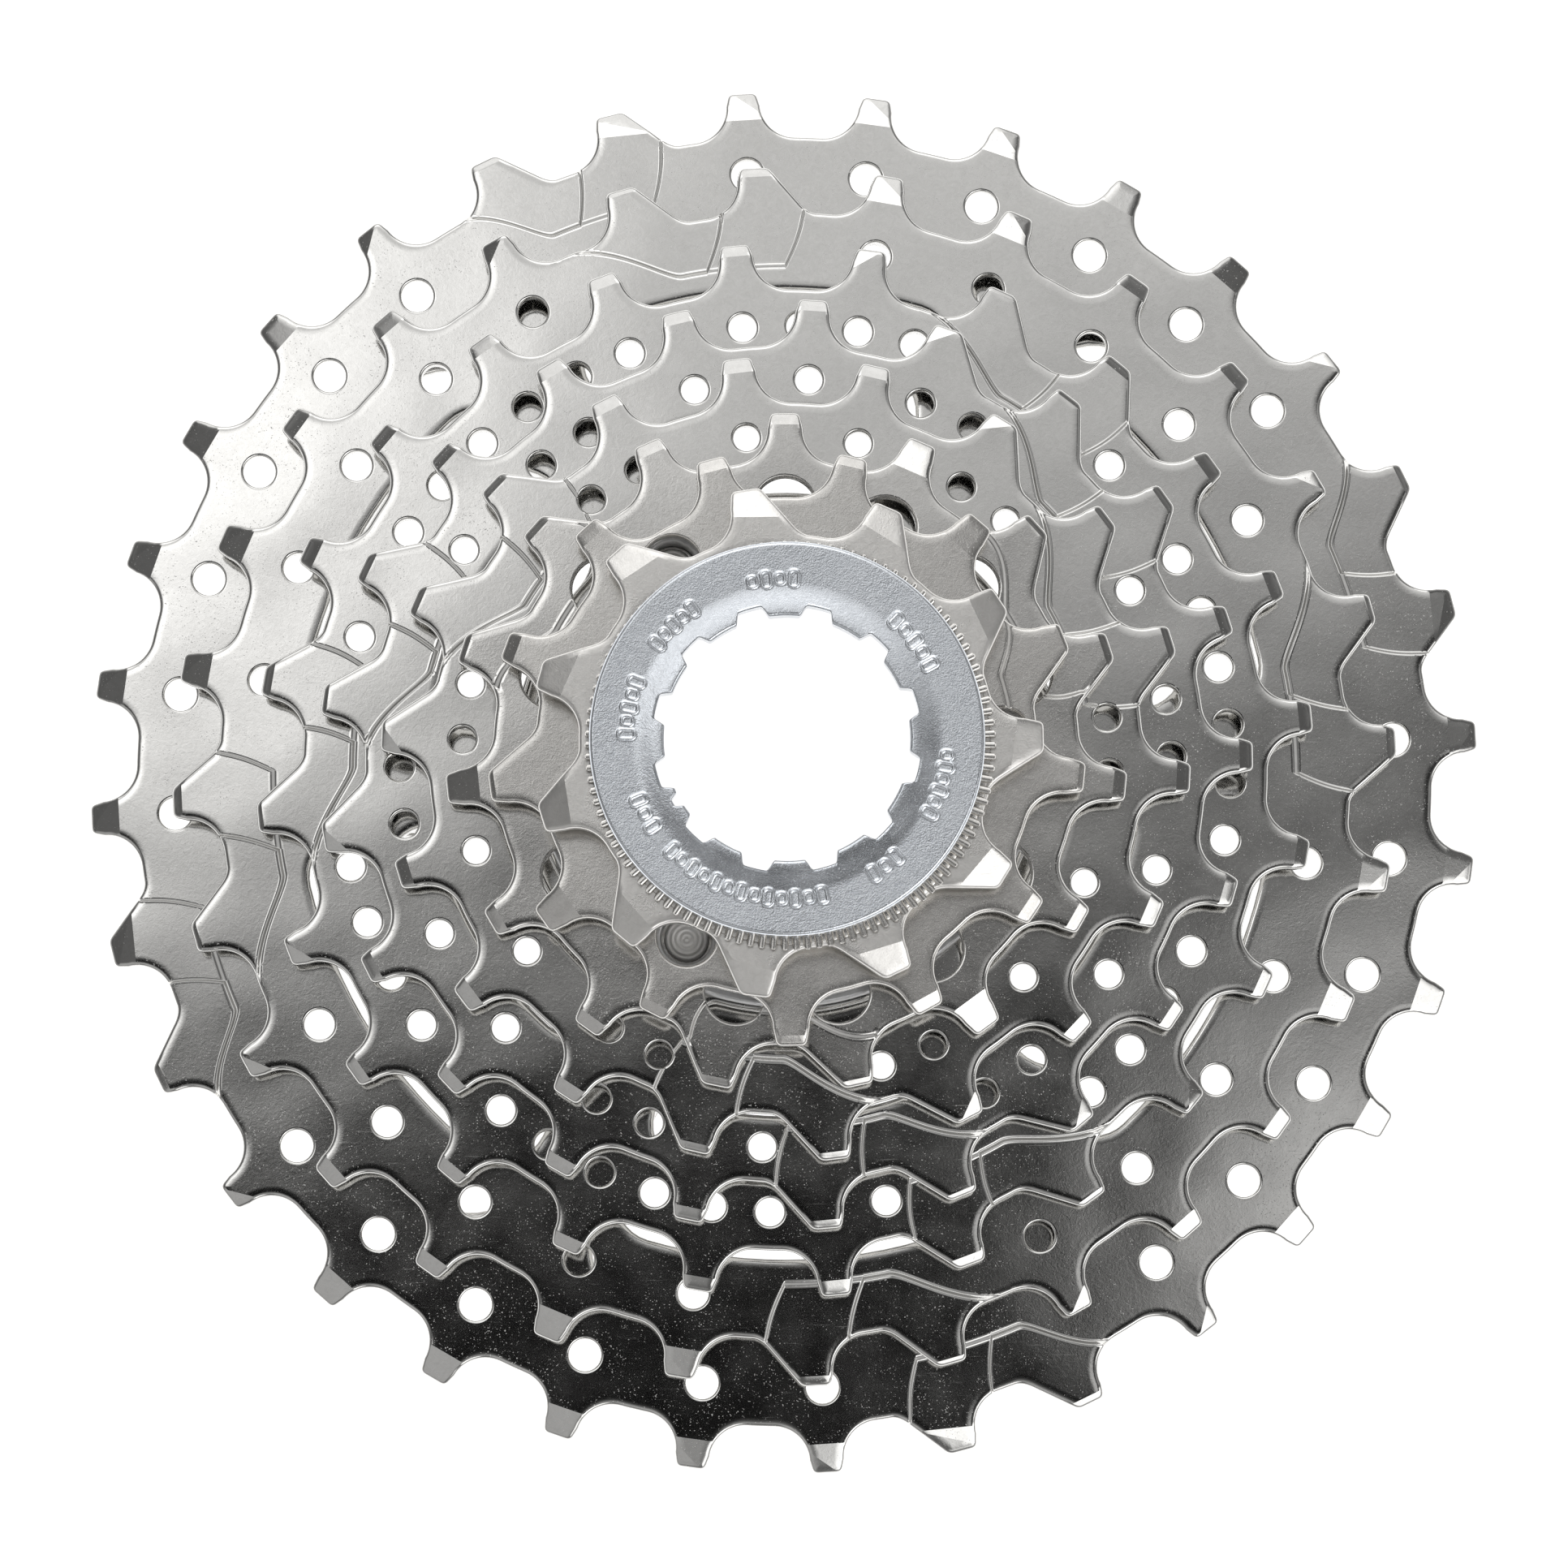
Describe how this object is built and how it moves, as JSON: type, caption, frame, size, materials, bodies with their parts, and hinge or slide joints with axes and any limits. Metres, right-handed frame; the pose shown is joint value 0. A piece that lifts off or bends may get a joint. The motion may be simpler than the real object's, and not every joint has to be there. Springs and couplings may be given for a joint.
{
  "type": "cassette sprocket",
  "caption": "Bicycle rear cassette: stepped sprockets on a riveted cluster, loose small sprockets, spacers and a splined lockring.",
  "frame": {"origin": "on the axle line, in the plane of the back face of the largest sprocket", "axes": "+Z along the axle from the largest sprocket to the lockring; X and Y in the plane of the sprockets, with the first rivet close to +X"},
  "size_m": [0.1304, 0.1304, 0.0379],
  "materials": {
    "riveted_sprocket": "nickel-plated stamped steel, satin to mirror, finely speckled",
    "loose_sprocket": "blasted and nickel-plated steel, satin",
    "spacer": "plain turned alloy, satin",
    "rivet": "plated steel, spun head with fine rings",
    "lockring_washer": "plated steel, knurled",
    "lockring": "zinc-plated steel, satin with fine grain"
  },
  "bodies": {
    "cluster": {"sprocket_32t": "riveted_sprocket", "sprocket_28t": "riveted_sprocket", "sprocket_24t": "riveted_sprocket", "sprocket_21t": "riveted_sprocket", "sprocket_18t": "riveted_sprocket", "sprocket_15t": "riveted_sprocket", "spacer_32t_28t": "spacer", "spacer_28t_24t": "spacer", "spacer_24t_21t": "spacer", "spacer_21t_18t": "spacer", "spacer_18t_15t": "spacer", "rivet_1": "rivet", "rivet_2": "rivet", "rivet_3": "rivet"},
    "loose_spacer": {"spacer_15t_13t": "spacer"},
    "second_smallest": {"sprocket_13t": "loose_sprocket"},
    "smallest": {"sprocket_11t": "loose_sprocket"},
    "washer": {"lockring_washer": "lockring_washer"},
    "lockring": {"lockring": "lockring"}
  },
  "joints": [
    {"name": "loose_spacer_lift", "type": "slide", "parent": "cluster", "child": "loose_spacer", "axis": [0, 0, 1], "range_m": [0, 0.015]},
    {"name": "sprocket_13t_lift", "type": "slide", "parent": "loose_spacer", "child": "second_smallest", "axis": [0, 0, 1], "range_m": [0, 0.015]},
    {"name": "sprocket_11t_lift", "type": "slide", "parent": "second_smallest", "child": "smallest", "axis": [0, 0, 1], "range_m": [0, 0.015]},
    {"name": "washer_lift", "type": "slide", "parent": "smallest", "child": "washer", "axis": [0, 0, 1], "range_m": [0, 0.0065]},
    {"name": "lockring_turn", "type": "hinge", "parent": "washer", "child": "lockring", "pos_m": [0, 0, 0.0364], "axis": [0, 0, 1], "range_deg": [0, 2160]}
  ],
  "couplings": [
    {"joint": "washer_lift", "follows": "lockring_turn", "m_per_rad": 0.00016844}
  ]
}
